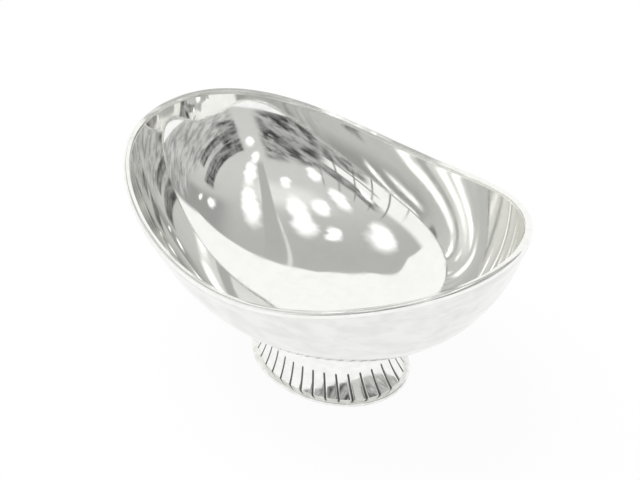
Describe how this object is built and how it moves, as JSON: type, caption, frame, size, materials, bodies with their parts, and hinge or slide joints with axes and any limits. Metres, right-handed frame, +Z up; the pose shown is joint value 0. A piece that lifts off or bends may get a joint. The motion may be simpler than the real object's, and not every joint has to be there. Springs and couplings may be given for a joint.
{
  "type": "footed oval bowl",
  "caption": "Oval silver bowl with both ends of its rim swept up and a rounded lip, on a flared oval foot engraved with upright lines, for serving small food or for show.",
  "frame": {"origin": "centre of the foot's oval, on the surface that the bowl stands on", "axes": "+X along the long axis of the oval, +Y across it, +Z up through the open mouth"},
  "size_m": [0.16, 0.1052, 0.0789],
  "materials": {
    "polished_silver": "mirror polish inside, softly worn outside",
    "lip_silver": "polished, rubbed smooth by handling",
    "engraved_silver": "polished, with darkened engraved lines",
    "silver_solder": "dull"
  },
  "bodies": {
    "root": {"bowl_body": "polished_silver", "lip_wire": "lip_silver", "lip_solder": "silver_solder", "foot_shell": "engraved_silver", "neck_solder": "silver_solder", "base_ring": "engraved_silver", "base_solder": "silver_solder"}
  },
  "joints": []
}
